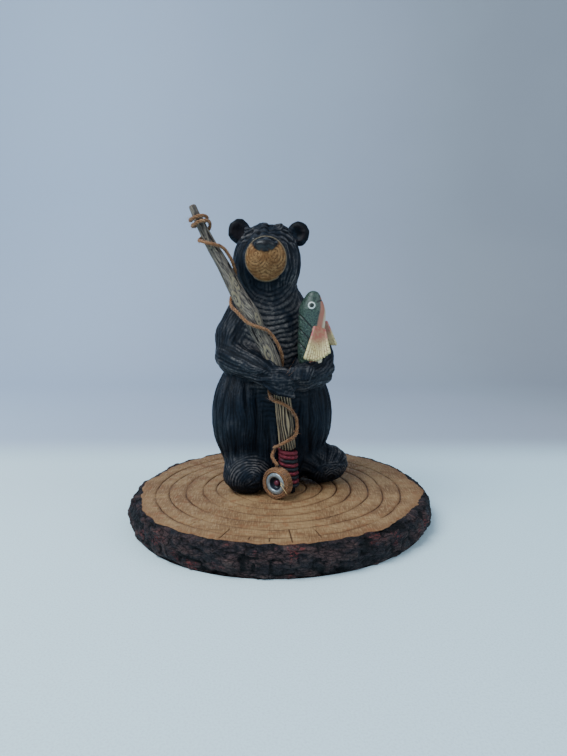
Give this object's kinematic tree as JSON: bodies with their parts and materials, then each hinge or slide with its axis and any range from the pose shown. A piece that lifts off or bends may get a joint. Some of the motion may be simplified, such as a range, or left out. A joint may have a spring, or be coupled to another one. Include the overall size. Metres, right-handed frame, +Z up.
{
  "type": "bear statue",
  "caption": "Seated black bear figurine on a log-slice plinth, holding a twig fishing rod wound with twine, with a trout in the crook of its arm.",
  "frame": {"origin": "middle of the plinth's flat underside", "axes": "+Z up, -Y the way the bear faces, +X to the right as seen from the front"},
  "size_m": [0.3192, 0.321, 0.321],
  "materials": {
    "cast_wood": "painted resin, cut wood with dark rings and bark",
    "black_fur": "painted resin, satin black with dry-brushed ridges",
    "trout_paint": "painted resin, green back, red side and cream belly",
    "driftwood": "painted resin, weathered grey-brown wood",
    "jute": "hairy twisted twine",
    "red_cord": "dark red cord",
    "black_cord": "black cord",
    "reel_metal": "silver"
  },
  "bodies": {
    "root": {"plinth": "cast_wood", "bear": "black_fur", "fish": "trout_paint", "rod": "driftwood", "twine": "jute", "grip_cord_red": "red_cord", "grip_cord_black": "black_cord", "reel": "reel_metal", "reel_twine": "jute"}
  },
  "joints": []
}
